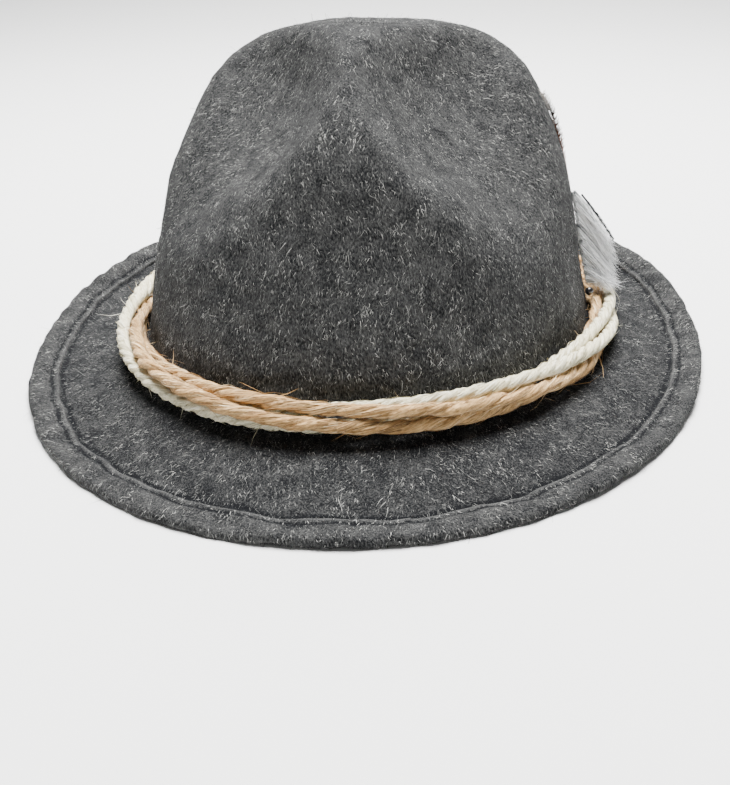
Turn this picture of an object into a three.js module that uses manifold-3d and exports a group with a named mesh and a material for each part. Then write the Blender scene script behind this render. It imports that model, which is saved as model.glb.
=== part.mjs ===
// Tyrolean hat in charcoal wool felt, lying on its brim.
// Millimetres, +Z up. The front of the hat faces -Y and the wearer's left is +X.
// Angles round the hat start at the front and run towards +X.
import * as THREE from 'three';
import { mergeVertices } from 'three/addons/utils/BufferGeometryUtils.js';
import Module from 'manifold-3d';

const wasm = await Module();
wasm.setup();

// Driving sizes of the felt
const crownWidth = 180;
const crownLength = 209;
const crownHeight = 113;
const crownSquareness = 2.1;
const crownFrontTaper = 0.05;
const crownSideTaper = 0.25;
const crownShoulder = 4;
const crownSetBack = 7;
const crownLean = 4;
const crownTilt = THREE.MathUtils.degToRad(3.35);
const feltThickness = 2.5;
const brimWidth = 45;
const brimFrontExtra = 2.6;
const brimBackLift = 13;
const brimRootRadius = 5;
const weltWidth = 11;
const weltStep = 1.4;
const weltCurl = THREE.MathUtils.degToRad(17);
const weltRamp = 0.9;
const restPress = 0.4;

// Driving sizes of the trim
const cordDiameter = 4.8;
const cordGap = 0.35;
const cordSeatGap = 0.45;
const cordTurns = 3;
const cordFrontSlack = 0.96;
const cordFacing = THREE.MathUtils.degToRad(26);
const trimGap = 0.35;
const trimAngle = THREE.MathUtils.degToRad(87);
const pinDiameter = 3.4;
const pinLead = 2.5;
const spineLength = 40;
const spineDiameter = 3;
const spineLean = THREE.MathUtils.degToRad(10);
const lockLength = 30;
const lockThickness = 6;
const featherTipDrop = 18;
const featherWidth = 11;
const featherThickness = 1;
const featherSetBack = 22;
const featherTipSetBack = 1;
const featherLift = 0.75;
const featherSpring = 1.6;
const darkFeatherWidth = 3.6;

// How far the brim's edge lifts off the surface round the hat, as a share of brimBackLift
const brimSections = [
  { angle: 0, lift: 0 },
  { angle: 40, lift: 0 },
  { angle: 65, lift: 0.1 },
  { angle: 90, lift: 0.28 },
  { angle: 120, lift: 0.62 },
  { angle: 150, lift: 0.84 },
  { angle: 180, lift: 1 },
];

// Dents pressed into the blocked crown, each made by a rounded egg-shaped form on both sides.
// Places are shares of the crown's half width, half length and height, radii are shares of
// its height, and fall, turn and blend are degrees and millimetres.
const crownDents = [
  { across: 0.82, along: -0.59, up: 1.03, long: 0.98, wide: 0.62, deep: 0.52, fall: 48, turn: -48, blend: 9 },
  { across: 0.37, along: -0.50, up: 1.04, long: 0.59, wide: 0.26, deep: 0.33, fall: -1, turn: 69, blend: 6 },
  { across: 0.41, along: -0.70, up: 1.04, long: 0.62, wide: 0.26, deep: 0.43, fall: 10, turn: 76, blend: 8 },
];

// Locks of the white plume: where each springs from the spine, its length as a share of
// lockLength, and how far it droops and sweeps back, in degrees
const plumeLocks = [
  { spring: 0.06, length: 0.24, droop: 8, back: 2 },
  { spring: 0.20, length: 0.40, droop: 34, back: 5 },
  { spring: 0.34, length: 0.60, droop: 44, back: 8 },
  { spring: 0.49, length: 0.88, droop: 48, back: 11 },
  { spring: 0.64, length: 0.98, droop: 50, back: 13 },
  { spring: 0.79, length: 1.00, droop: 51, back: 14 },
  { spring: 0.94, length: 0.96, droop: 52, back: 15 },
];

// Mesh fineness
const stepsRound = 72;
const crownRings = 16;
const liningRings = 11;
const rootRings = 3;
const cordSides = 8;
const cordSteps = 52;
const sweepSides = 8;
const sweepSteps = 8;
const raySteps = 36;

// Stations of the felt's section that the brim's rings stand at, and turns round its edge
const brimMiddle = 2.5;
const weltStart = 3.02;
const weltMiddle = 3.5;
const weltEnd = 3.98;
const edgeTurns = [50, 0, -50];

// Outlines of the locks and vanes, as shares
const lockBroadness = 1.15;
const lockCurl = 0.08;
const lockRooting = 0.25;
const lockRoundness = { start: 0.12, lean: 0.7, fullness: 0.8 };
const vaneRoundness = { lean: 0.8, fullness: 0.7 };
const spineTapers = { tip: 4, foot: 8 };

const halfWidth = crownWidth / 2;
const halfLength = crownLength / 2;
const rootHeight = feltThickness + halfLength * Math.sin(crownTilt);

// A value read from a short table by a smooth curve through its rows
function readTable(rows, key, column, at) {
  let i = 0;
  while (i < rows.length - 2 && at > rows[i + 1][key]) i += 1;
  const slope = (j) => {
    const low = rows[Math.max(j - 1, 0)];
    const high = rows[Math.min(j + 1, rows.length - 1)];
    const edge = j === 0 || j === rows.length - 1;
    return edge ? 0 : (high[column] - low[column]) / (high[key] - low[key]);
  };
  const width = rows[i + 1][key] - rows[i][key];
  const t = (at - rows[i][key]) / width;
  const t2 = t * t;
  const t3 = t2 * t;
  return rows[i][column] * (2 * t3 - 3 * t2 + 1)
    + rows[i + 1][column] * (3 * t2 - 2 * t3)
    + width * slope(i) * (t3 - 2 * t2 + t)
    + width * slope(i + 1) * (t3 - t2);
}

function smoothMax(a, b, blend) {
  const near = Math.max(blend - Math.abs(a - b), 0) / blend;
  return Math.max(a, b) + (near * near * blend) / 4;
}

// Blocked crown before it is dented: below zero inside, in millimetres near the surface
function blockField(x, y, z) {
  const t = z / crownHeight;
  const shrink = 1 - crownSideTaper * t;
  const along = (y - crownSetBack * t) / halfLength;
  const across = (x - crownLean * t * t) / (halfWidth * (1 + crownFrontTaper * along));
  const oval = (Math.abs(across) ** crownSquareness + Math.abs(along) ** crownSquareness) ** (1 / crownSquareness);
  const level = ((oval / shrink) ** crownShoulder + Math.max(t, 0) ** crownShoulder) ** (1 / crownShoulder);
  return (level - 1) * halfWidth;
}

// Signed distance to one egg-shaped pressing form, negative inside it
function dentField(dent, side, x, y, z) {
  const fall = THREE.MathUtils.degToRad(dent.fall);
  const turn = THREE.MathUtils.degToRad(dent.turn);
  const dx = x * side - dent.across * halfWidth;
  const dy = y - dent.along * halfLength;
  const dz = z - dent.up * crownHeight;
  const out = dx * Math.cos(turn) + dy * Math.sin(turn);
  const back = dy * Math.cos(turn) - dx * Math.sin(turn);
  const axial = out * Math.cos(fall) - dz * Math.sin(fall);
  const rise = out * Math.sin(fall) + dz * Math.cos(fall);
  const a = dent.long * crownHeight;
  const b = dent.wide * crownHeight;
  const c = dent.deep * crownHeight;
  const near = Math.hypot(axial / a, back / b, rise / c);
  const steep = Math.hypot(axial / (a * a), back / (b * b), rise / (c * c));
  return (near * (near - 1)) / Math.max(steep, 1e-9);
}

function crownField(x, y, z) {
  let value = blockField(x, y, z);
  for (const dent of crownDents) {
    for (const side of [-1, 1]) {
      value = smoothMax(value, -dentField(dent, side, x, y, z), dent.blend);
    }
  }
  return value;
}

// Where a ray from the middle of the crown leaves the felt, starting at the given height
function crownPoint(angle, rise, height = brimRootRadius) {
  const dx = Math.sin(angle) * Math.cos(rise);
  const dy = -Math.cos(angle) * Math.cos(rise);
  const dz = Math.sin(rise);
  let low = 0;
  let high = crownLength;
  for (let i = 0; i < raySteps; i += 1) {
    const middle = (low + high) / 2;
    if (crownField(dx * middle, dy * middle, height + dz * middle) < 0) low = middle;
    else high = middle;
  }
  return new THREE.Vector3(dx * low, dy * low, height + dz * low);
}

// From the crown's own frame to the lying hat: the crown leans back by its tilt
function settle(point) {
  const cos = Math.cos(crownTilt);
  const sin = Math.sin(crownTilt);
  return new THREE.Vector3(
    point.x,
    point.y * cos + point.z * sin,
    point.z * cos - point.y * sin + rootHeight - restPress,
  );
}

function plainOutward(angle) {
  const step = 0.5;
  const p = crownPoint(angle, 0);
  const gx = crownField(p.x + step, p.y, p.z) - crownField(p.x - step, p.y, p.z);
  const gy = crownField(p.x, p.y + step, p.z) - crownField(p.x, p.y - step, p.z);
  return new THREE.Vector3(gx, gy, 0).normalize();
}

// The brim's section at one angle: root curve, bend of the welt and edge, in the vertical
// plane that stands out from the crown wall. "out" is measured from the wall.
function brimSection(angle) {
  const wall = settle(crownPoint(angle, 0));
  const degrees = Math.abs(THREE.MathUtils.radToDeg(Math.atan2(Math.sin(angle), Math.cos(angle))));
  const lift = brimBackLift * readTable(brimSections, 'angle', 'lift', degrees);
  const width = brimWidth + brimFrontExtra * Math.cos(angle);
  const edgeRadius = (feltThickness + weltStep) / 2;
  const edge = { out: width - edgeRadius, up: lift + feltThickness - restPress };
  const bendOut = width - weltWidth;
  const share = weltWidth / bendOut;
  const rootUp = wall.z - brimRootRadius;
  const bendUp = (edge.up - weltWidth * Math.tan(weltCurl) + share * rootUp) / (1 + share);
  const bend = { out: bendOut, up: bendUp };
  const centre = { out: brimRootRadius, up: wall.z };
  const reach = Math.hypot(bend.out - centre.out, bend.up - centre.up);
  const slope = Math.atan2(centre.up - bend.up, bend.out - centre.out) - Math.asin(brimRootRadius / reach);
  return { wall, outward: plainOutward(angle), centre, slope, bend, edge };
}

// A point of the felt's upper face: "station" counts along the section from the top of
// the crown (0) to the root curve (1), along that curve (2), to the welt's bend (3) and edge (4)
function feltPoint(angle, station) {
  if (station <= 1) return settle(crownPoint(angle, (1 - station) * (Math.PI / 2)));
  const section = brimSection(angle);
  const { wall, outward, centre, slope, bend, edge } = section;
  const end = Math.PI * 1.5 - slope;
  let out;
  let up;
  if (station <= 2) {
    const turn = Math.PI + (end - Math.PI) * (station - 1);
    out = centre.out + brimRootRadius * Math.cos(turn);
    up = centre.up + brimRootRadius * Math.sin(turn);
  } else if (station <= 3) {
    const startOut = centre.out + brimRootRadius * Math.cos(end);
    const startUp = centre.up + brimRootRadius * Math.sin(end);
    out = THREE.MathUtils.lerp(startOut, bend.out, station - 2);
    up = THREE.MathUtils.lerp(startUp, bend.up, station - 2);
  } else {
    out = THREE.MathUtils.lerp(bend.out, edge.out, station - 3);
    up = THREE.MathUtils.lerp(bend.up, edge.up, station - 3);
  }
  return new THREE.Vector3(wall.x + outward.x * out, wall.y + outward.y * out, up);
}

function feltNormal(angle, station) {
  const stepAngle = 0.012;
  const stepStation = station < 1 ? 0.01 : 0.04;
  const before = Math.max(station - stepStation, 0.004);
  const after = Math.min(station + stepStation, 4);
  const down = feltPoint(angle, after).sub(feltPoint(angle, before));
  const around = feltPoint(angle + stepAngle, station).sub(feltPoint(angle - stepAngle, station));
  return down.cross(around).normalize();
}

// A closed skin over rings of equal length, with a single point at each end,
// or with the last ring joined to the first
function skin(rings, first, last) {
  const count = rings[0].length;
  const points = rings.flat();
  const index = [];
  const joined = first === undefined;
  const bands = joined ? rings.length : rings.length - 1;
  for (let r = 0; r < bands; r += 1) {
    const next = (r + 1) % rings.length;
    for (let i = 0; i < count; i += 1) {
      const j = (i + 1) % count;
      const a = r * count + i;
      const b = r * count + j;
      const c = next * count + i;
      const d = next * count + j;
      index.push(a, c, b, b, c, d);
    }
  }
  if (!joined) {
    const tip = points.length;
    points.push(first, last);
    const base = (rings.length - 1) * count;
    for (let i = 0; i < count; i += 1) {
      const j = (i + 1) % count;
      index.push(tip, i, j);
      index.push(tip + 1, base + j, base + i);
    }
  }
  const geometry = new THREE.BufferGeometry().setFromPoints(points);
  geometry.setIndex(index);
  return geometry;
}

function ringOf(count, makePoint) {
  return Array.from({ length: count }, (unused, i) => makePoint((i / count) * Math.PI * 2));
}

// An oval section across a path, with its half thickness along the facing direction
function ovalRing(centre, along, facing, halfWide, halfThick, sides) {
  const side = along.clone().cross(facing).normalize();
  const over = side.clone().cross(along);
  return ringOf(sides, (turn) => centre.clone()
    .addScaledVector(side, halfWide * Math.cos(turn))
    .addScaledVector(over, halfThick * Math.sin(turn)));
}

// Felt pressed on the surface that it lies on is flat there
function pressFlat(point) {
  return new THREE.Vector3(point.x, point.y, Math.max(point.z, 0));
}

function feltBody() {
  const rings = [];
  const upper = (station, raise) => ringOf(stepsRound, (angle) => (
    feltPoint(angle, station).addScaledVector(feltNormal(angle, station), raise)));
  const lower = (station) => ringOf(stepsRound, (angle) => (
    pressFlat(feltPoint(angle, station).addScaledVector(feltNormal(angle, station), -feltThickness))));

  for (let r = 1; r <= crownRings; r += 1) rings.push(upper(r / crownRings, 0));
  for (let r = 1; r <= rootRings; r += 1) rings.push(upper(1 + r / rootRings, 0));
  const brimFlat = brimWidth - weltWidth - brimRootRadius;
  rings.push(upper(brimMiddle, 0));
  rings.push(upper(3 - weltRamp / brimFlat, 0));
  rings.push(upper(weltStart, weltStep));
  rings.push(upper(weltMiddle, weltStep));
  rings.push(upper(weltEnd, weltStep));

  const edgeRadius = (feltThickness + weltStep) / 2;
  for (const turn of edgeTurns) {
    const swing = THREE.MathUtils.degToRad(turn);
    rings.push(ringOf(stepsRound, (angle) => {
      const normal = feltNormal(angle, weltEnd);
      const outward = brimSection(angle).outward;
      const onward = outward.clone().addScaledVector(normal, -outward.dot(normal)).normalize();
      const middle = feltPoint(angle, 4).addScaledVector(normal, weltStep - edgeRadius);
      return pressFlat(middle
        .addScaledVector(normal, edgeRadius * Math.sin(swing))
        .addScaledVector(onward, edgeRadius * Math.cos(swing)));
    }));
  }

  for (const station of [weltEnd, weltMiddle, 3, brimMiddle, 2]) rings.push(lower(station));
  for (let r = rootRings - 1; r >= 1; r -= 1) rings.push(lower(1 + r / rootRings));
  for (let r = liningRings; r >= 1; r -= 1) rings.push(lower(r / liningRings));

  const top = feltPoint(0, 0);
  const underTop = top.clone();
  underTop.z -= feltThickness;
  return skin(rings, top, underTop);
}

// Middle of the bundle of cords, lying in the corner between crown wall and brim
function bundleCentre(angle) {
  const section = brimSection(angle);
  const spread = (cordDiameter + cordGap) / Math.SQRT2;
  const radius = spread + cordDiameter / 2 + cordSeatGap;
  const out = Math.max(radius, brimRootRadius);
  const base = section.centre.up - brimRootRadius / Math.cos(section.slope)
    + section.centre.out * Math.tan(section.slope);
  const up = base - out * Math.tan(section.slope) + radius / Math.cos(section.slope);
  const at = new THREE.Vector3(
    section.wall.x + section.outward.x * out,
    section.wall.y + section.outward.y * out,
    up,
  );
  return { at, outward: section.outward, spread };
}

function cordPoint(angle, place) {
  const { at, outward, spread } = bundleCentre(angle);
  const twist = cordTurns * angle - cordFrontSlack * Math.sin(angle) + THREE.MathUtils.degToRad(place);
  const facing = Math.cos(twist);
  const sinking = Math.sin(twist);
  const out = spread * (facing * Math.cos(cordFacing) + sinking * Math.sin(cordFacing));
  const up = spread * (facing * Math.sin(cordFacing) - sinking * Math.cos(cordFacing));
  return at.addScaledVector(outward, out).add(new THREE.Vector3(0, 0, up));
}

function cord(place) {
  const rings = ringOf(cordSteps, (angle) => {
    const centre = cordPoint(angle, place);
    const along = cordPoint(angle + 0.01, place).sub(cordPoint(angle - 0.01, place)).normalize();
    return ovalRing(centre, along, new THREE.Vector3(0, 0, 1), cordDiameter / 2, cordDiameter / 2, cordSides);
  });
  return skin(rings);
}

// A point that stands off the crown wall, with the wall's outward direction there
function offWall(angle, height, standOff) {
  const step = 0.02;
  const here = settle(crownPoint(angle, 0, height));
  const above = settle(crownPoint(angle, 0, height + 1));
  const below = settle(crownPoint(angle, 0, height - 1));
  const ahead = settle(crownPoint(angle + step, 0, height));
  const behind = settle(crownPoint(angle - step, 0, height));
  const outward = ahead.sub(behind).cross(above.sub(below)).normalize();
  return { at: here.addScaledVector(outward, standOff), outward };
}

// A closed body along a path, with an oval section that narrows to a point at both ends
function sweep(path, facing, halfWide, halfThick) {
  const last = path.length - 1;
  const rings = [];
  for (let i = 1; i < last; i += 1) {
    const along = path[i + 1].clone().sub(path[i - 1]).normalize();
    rings.push(ovalRing(path[i], along, facing[i], halfWide(i / last), halfThick(i / last), sweepSides));
  }
  return skin(rings, path[0], path[last]);
}

function fuse(geometries) {
  const solids = geometries.map((geometry) => {
    const plain = mergeVertices(geometry);
    return new wasm.Manifold(new wasm.Mesh({
      numProp: 3,
      vertProperties: new Float32Array(plain.attributes.position.array),
      triVerts: new Uint32Array(plain.index.array),
    }));
  });
  const whole = solids.reduce((sum, solid) => sum.add(solid));
  const mesh = whole.getMesh();
  const geometry = new THREE.BufferGeometry();
  geometry.setAttribute('position', new THREE.BufferAttribute(new Float32Array(mesh.vertProperties), 3));
  geometry.setIndex(Array.from(mesh.triVerts));
  return geometry;
}

// Height above the crown's base at which the trim clears the bundle of cords
function trimFoot() {
  const { at, spread } = bundleCentre(trimAngle);
  const base = settle(crownPoint(trimAngle, 0, 0));
  return at.z - base.z + spread + cordDiameter / 2 + spineDiameter / 2;
}

// The plume's spine lies along the wall and leans back as it rises
function spinePoint(share) {
  const height = trimFoot() + spineLength * share * Math.cos(spineLean);
  const angle = trimAngle + (spineLength * share * Math.sin(spineLean)) / halfWidth;
  return offWall(angle, height, trimGap + spineDiameter / 2);
}

function lockPath(lock) {
  const { at, outward } = spinePoint(lock.spring);
  const start = at.clone().addScaledVector(outward, -spineDiameter * lockRooting);
  const droop = THREE.MathUtils.degToRad(lock.droop);
  const back = THREE.MathUtils.degToRad(lock.back);
  const path = [];
  for (let i = 0; i <= sweepSteps; i += 1) {
    const share = i / sweepSteps;
    const reach = lockLength * lock.length * share;
    const fall = droop * (1 - lockCurl * (1 - share));
    const level = new THREE.Vector3(outward.x * Math.cos(back), Math.sin(back), 0).normalize();
    path.push(start.clone()
      .addScaledVector(level, reach * Math.cos(fall))
      .add(new THREE.Vector3(0, 0, -reach * Math.sin(fall))));
  }
  const facing = path.map((point, i) => {
    const along = path[Math.min(i + 1, sweepSteps)].clone().sub(path[Math.max(i - 1, 0)]);
    return along.clone().cross(new THREE.Vector3(0, 0, 1)).cross(along).normalize();
  });
  return { path, facing };
}

function lockSwell(share) {
  const { start, lean, fullness } = lockRoundness;
  return Math.sin(Math.PI * (start + (1 - start) * share ** lean)) ** fullness;
}

function plume() {
  const stations = Array.from({ length: sweepSteps + 1 }, (unused, i) => spinePoint(i / sweepSteps));
  const radius = (share) => (
    (spineDiameter / 2) * Math.min(1, spineTapers.tip * (1 - share), spineTapers.foot * share));
  const parts = [sweep(
    stations.map((station) => station.at),
    stations.map((station) => station.outward),
    radius,
    radius,
  )];
  for (const lock of plumeLocks) {
    const { path, facing } = lockPath(lock);
    parts.push(sweep(
      path,
      facing,
      (share) => (lockThickness / 2) * lockBroadness * lockSwell(share),
      (share) => (lockThickness / 2) * lockSwell(share),
    ));
  }
  return fuse(parts);
}

// A vane, widest below its middle
function vaneShape(share) {
  return Math.sin(Math.PI * share ** vaneRoundness.lean) ** vaneRoundness.fullness;
}

// The brown feather springs a little off the wall and ends below the crown's top
function featherBrown() {
  const featherLength = crownHeight - trimFoot() - featherTipDrop;
  const stations = Array.from({ length: sweepSteps * 2 + 1 }, (unused, i) => {
    const share = i / (sweepSteps * 2);
    const height = trimFoot() + featherLength * share;
    const angle = trimAngle + THREE.MathUtils.lerp(featherSetBack, featherTipSetBack, share * share) / halfWidth;
    return offWall(angle, height, trimGap + featherThickness * featherLift + featherSpring * share);
  });
  return sweep(
    stations.map((station) => station.at),
    stations.map((station) => station.outward),
    (share) => Math.max((featherWidth / 2) * vaneShape(share), featherThickness / 2),
    () => featherThickness / 2,
  );
}

// The narrow dark vane follows the topmost lock, just clear of it
function featherDark() {
  const lock = plumeLocks[plumeLocks.length - 1];
  const { path, facing } = lockPath(lock);
  const lift = lockThickness / 2 + trimGap + featherThickness / 2;
  const raised = path.map((point, i) => point.clone().addScaledVector(facing[i], lift));
  return sweep(
    raised.slice(1),
    facing.slice(1),
    (share) => (darkFeatherWidth / 2) * vaneShape(share),
    () => featherThickness / 2,
  );
}

function pin() {
  const radius = pinDiameter / 2;
  const angle = trimAngle - (spineDiameter / 2 + radius + pinLead) / halfWidth;
  const geometry = mergeVertices(bare(new THREE.SphereGeometry(radius, 12, 8)));
  const { at } = offWall(angle, trimFoot(), trimGap + radius);
  return geometry.translate(at.x, at.y, at.z);
}

// Only the positions are kept, so that vertices along a seam can be merged
function bare(geometry) {
  geometry.deleteAttribute('normal');
  geometry.deleteAttribute('uv');
  return geometry;
}

function finish(colour, roughness) {
  return new THREE.MeshStandardMaterial({ color: colour, roughness, metalness: 0 });
}

const felt = finish('#55565a', 0.95);
const cream = finish('#d9cbaa', 0.9);
const tan = finish('#a8794f', 0.9);
const down = finish('#c9cdd2', 0.85);
const brownVane = finish('#4a2c1c', 0.6);
const darkVane = finish('#26262a', 0.6);
const glossBead = finish('#141416', 0.12);

const hat = new THREE.Group();
function add(name, geometry, material) {
  const mesh = new THREE.Mesh(geometry, material);
  mesh.name = name;
  hat.add(mesh);
  return mesh;
}

const body = add('felt_body', feltBody(), felt);
add('cord_tan_outer', cord(45), tan);
add('cord_tan_inner', cord(-45), tan);
add('cord_cream_outer', cord(135), cream);
add('cord_cream_inner', cord(-135), cream);
add('plume_white', plume(), down);
add('feather_brown', featherBrown(), brownVane);
add('feather_dark', featherDark(), darkVane);
add('plume_pin', pin(), glossBead);

// The origin is under the middle of the felt
body.geometry.computeBoundingBox();
const box = body.geometry.boundingBox;
hat.position.set(-(box.min.x + box.max.x) / 2, -(box.min.y + box.max.y) / 2, 0);

export default hat;
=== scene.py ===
import math

import bpy
import numpy as np
from mathutils import Matrix


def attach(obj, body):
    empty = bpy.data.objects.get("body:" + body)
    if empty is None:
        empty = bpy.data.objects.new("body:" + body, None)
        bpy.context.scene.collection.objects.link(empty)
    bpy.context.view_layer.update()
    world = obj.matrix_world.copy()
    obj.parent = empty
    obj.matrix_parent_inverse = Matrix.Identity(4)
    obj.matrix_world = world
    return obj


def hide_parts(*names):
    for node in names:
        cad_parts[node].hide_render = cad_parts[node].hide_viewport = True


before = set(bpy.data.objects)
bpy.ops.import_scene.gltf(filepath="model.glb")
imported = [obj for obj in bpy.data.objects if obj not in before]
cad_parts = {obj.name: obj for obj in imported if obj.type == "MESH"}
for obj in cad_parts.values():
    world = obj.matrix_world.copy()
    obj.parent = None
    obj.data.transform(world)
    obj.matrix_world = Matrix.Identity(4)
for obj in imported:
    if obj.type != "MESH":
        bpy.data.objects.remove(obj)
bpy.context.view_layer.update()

rng = np.random.default_rng(7)

# Felt
crown_width = 180
crown_length = 209
crown_height = 113
crown_squareness = 2.1
crown_front_taper = 0.05
crown_side_taper = 0.25
crown_shoulder = 4
crown_set_back = 7
crown_lean = 4
crown_tilt = math.radians(3.35)
felt_thickness = 2.5
brim_width = 45
brim_front_extra = 2.6
brim_back_lift = 13
brim_root_radius = 5
welt_width = 11
welt_step = 1.4
welt_curl = math.radians(17)
rest_press = 0.4
raw_edge_ramp = 1.1
fine_rings_start = 1.2
fine_rings_past = 1
fine_rings_bias = 1.4
plain_rings_end = 2
stitch_inset = 2.6
stitch_depth = 0.24
stitch_half_width = 0.5
welt_swell = 0.5
pucker_spacing = 9
pucker_depth = 0.45
handling_depth = 0.5
handling_spacing = 38
lump_depth = 0.12
lump_spacing = 6
edge_wander = 0.5
edge_wander_spacing = 19.8
edge_unevenness = 0.12
edge_swing = math.radians(70)

# Nap: fibres drawn about four times as thick as wool, so that they show at this distance
nap_length = 1.15
nap_width = 0.12
nap_rise = 0.09
nap_disorder = 0.45
nap_swirl = 0.35
nap_swirl_spacing = 45
nap_cloud_spacing = 9
nap_strands = 62000
nap_hidden_strands = 34000
stray_hairs = 2600
stray_length = 3.2
stray_rise = 0.7
crown_shade = -0.02
# Painted shade: the brim's felt is drawn darker than the crown's, for the shade that the crown casts on the
# brim
brim_painted_shade = -0.07
# Painted light: the upturned welt is drawn lighter, as it faces up into the light
welt_painted_light = 0.04
# Painted lines along the welt: a painted shadow at the foot of the raised raw edge, painted shade in the
# stitch groove and a painted highlight along the raw edge
welt_painted_lines = dict(groove=-0.16, foot=-0.2, raw=0.12)
nap_knots = 3
nap_length_spread = 0.35
nap_rise_shape = 1.6
nap_curl = 0.22
nap_stand_off = 0.02
nap_cloud_shade = 0.1
nap_thickness_range = (0.7, 1.3)
nap_tones = (1.15, 1.5)
tone_range = (0.01, 0.99)

# Trim
cord_diameter = 4.8
cord_gap = 0.35
cord_seat_gap = 0.45
cord_turns = 3
cord_front_slack = 0.96
cord_facing = math.radians(26)
ply_count = 3
ply_fullness = 0.63
tan_pitch = 27
tan_looseness = 1
tan_loose_share = 1.6
cream_pitch = 19
cream_looseness = 0.4
cream_loose_share = 0.5
ply_slip = 0.5
ply_parting = 0.35
ply_unevenness = 0.12
ply_grain_offset = 3.7
fibre_knots = 5
fibre_length_spread = 0.4
fibre_wander = 0.35
fibre_stand_off = 0.03
strand_thickness_range = (0.6, 1.3)
fibre_width = 0.3
lying_fibres = 3600
lying_length = 9
lying_rise = 0.12
loose_fibres = 420
loose_length = 8
loose_rise = 1.7
plume_tufts = 44
plume_barbs = 64
barb_width = 0.22
barb_knots = 9
barb_thickness_range = (0.6, 1.4)
barb_reach_range = (0.72, 1.04)
barb_stray = 0.55
plume_wisps = 6000
wisp_knots = 4
wisp_length = 3
wisp_disorder = 0.45
tuft_thickness = 0.55
tuft_flatness = 1.15
# Spread of each tuft's own tone, and how much darker the painted shade makes the barbs inside a tuft
tuft_tone_and_inner_shade = 0.28
tuft_length_range = (0.74, 1.06)
tuft_droop_spread = 4
tuft_sweep_spread = 8
shortest_tuft = 0.5
hackle_width = 0.3
hackle_knots = 5
hackle_slant = 0.9
hackle_length_range = (0.8, 1.12)
hackle_span = (0.03, 0.98)
quill_sides = 6
quill_share = 0.45
quill_taper = 0.8
trim_gap = 0.35
trim_angle = math.radians(87)
pin_diameter = 3.4
pin_lead = 2.5
spine_length = 40
spine_diameter = 3
spine_lean = math.radians(10)
lock_length = 30
lock_thickness = 6
feather_tip_drop = 18
feather_width = 11
feather_thickness = 1
feather_set_back = 22
feather_tip_set_back = 1
feather_seat = 0.3
feather_shown = 0.93
feather_steps = 33
brown_barbs = 860
brown_fluff = (2.6, 2.4, 0.55)
dark_feather_width = 3.6
dark_feather_start = 0.125
dark_feather_steps = 24
dark_barbs = 320
dark_fluff = (1.2, 0.8, 0)

# The brim's edge lifts off the surface: angle in degrees, share of brim_back_lift
brim_lifts = [(0, 0), (40, 0), (65, 0.1), (90, 0.28), (120, 0.62), (150, 0.84), (180, 1)]

# Dents: place as shares of the crown's half width, half length and height, radii as shares
# of its height, then fall and turn in degrees and the blend in millimetres
crown_dents = [
    dict(across=0.82, along=-0.59, up=1.03, long=0.98, wide=0.62, deep=0.52, fall=48, turn=-48, blend=9),
    dict(across=0.37, along=-0.50, up=1.04, long=0.59, wide=0.26, deep=0.33, fall=-1, turn=69, blend=6),
    dict(across=0.41, along=-0.70, up=1.04, long=0.62, wide=0.26, deep=0.43, fall=10, turn=76, blend=8),
]

# Locks of the plume: place on the spine, share of lock_length, droop and sweep in degrees
plume_locks = [
    dict(spring=0.06, length=0.24, droop=8, back=2),
    dict(spring=0.20, length=0.40, droop=34, back=5),
    dict(spring=0.34, length=0.60, droop=44, back=8),
    dict(spring=0.49, length=0.88, droop=48, back=11),
    dict(spring=0.64, length=0.98, droop=50, back=13),
    dict(spring=0.79, length=1.00, droop=51, back=14),
    dict(spring=0.94, length=0.96, droop=52, back=15),
]

# Mesh fineness
steps_round = 380
crown_rings = 138
root_rings = 6
brim_rings = 20
welt_rings = 18
edge_rings = 7
under_rings = 12
lining_rings = 32
ply_steps = 760
ply_sides = 7
bead_rings = 16
bead_steps = 24
bisections = 34
field_step = 0.5
wall_step = 1
wall_turn = 0.02
outline_steps = 720

half_width = crown_width / 2
half_length = crown_length / 2
root_height = felt_thickness + half_length * math.sin(crown_tilt)
edge_radius = (felt_thickness + welt_step) / 2
up_axis = np.array([0.0, 0.0, 1.0])
tiny = 1e-12

# Grain of the finishes in millimetres, with the felt's specks drawn coarser than wool is thick
felt_cloud = 6.25
felt_speck = 0.5263
felt_speck_upright = 0.4
felt_relief = 0.6
yarn_streak_length = 2
yarn_streaks_round = 16
yarn_relief = 0.6
bead_swirl = 1.111
bead_relief = 0.2

# Studio, in metres and watts
key_light = dict(place=(0.02, 0.23, 1.1), aim=(0, 0, 0.05), size=0.75, power=72)
back_light = dict(place=(0, 1.9, 1.3), aim=(0, 1.88, 0), size=1.6, power=46)
sky_strength = 0.18
floor_reach = 4

# Camera at the photograph's angle, in millimetres and degrees
camera_place = (37.6, -356.2, 162.3)
camera_yaw = 2.6
camera_pitch = 29.81
camera_roll = -0.66
camera_lens = 45.6
camera_sensor = 36
camera_near = 0.01
camera_shift = (-0.0808, 0.039)


def add_camera():
    data = bpy.data.cameras.new("camera")
    data.sensor_fit = "HORIZONTAL"
    data.sensor_width = camera_sensor
    data.lens = camera_lens
    data.shift_x, data.shift_y = camera_shift
    data.clip_start = camera_near
    camera = bpy.data.objects.new("camera", data)
    turn = Matrix.Rotation(math.radians(camera_yaw), 4, "Z")
    tip = Matrix.Rotation(math.radians(90 - camera_pitch), 4, "X")
    roll = Matrix.Rotation(math.radians(camera_roll), 4, "Z")
    place = Matrix.Translation([v / 1000 for v in camera_place])
    camera.matrix_world = place @ turn @ tip @ roll
    bpy.context.collection.objects.link(camera)
    bpy.context.scene.camera = camera


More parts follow.
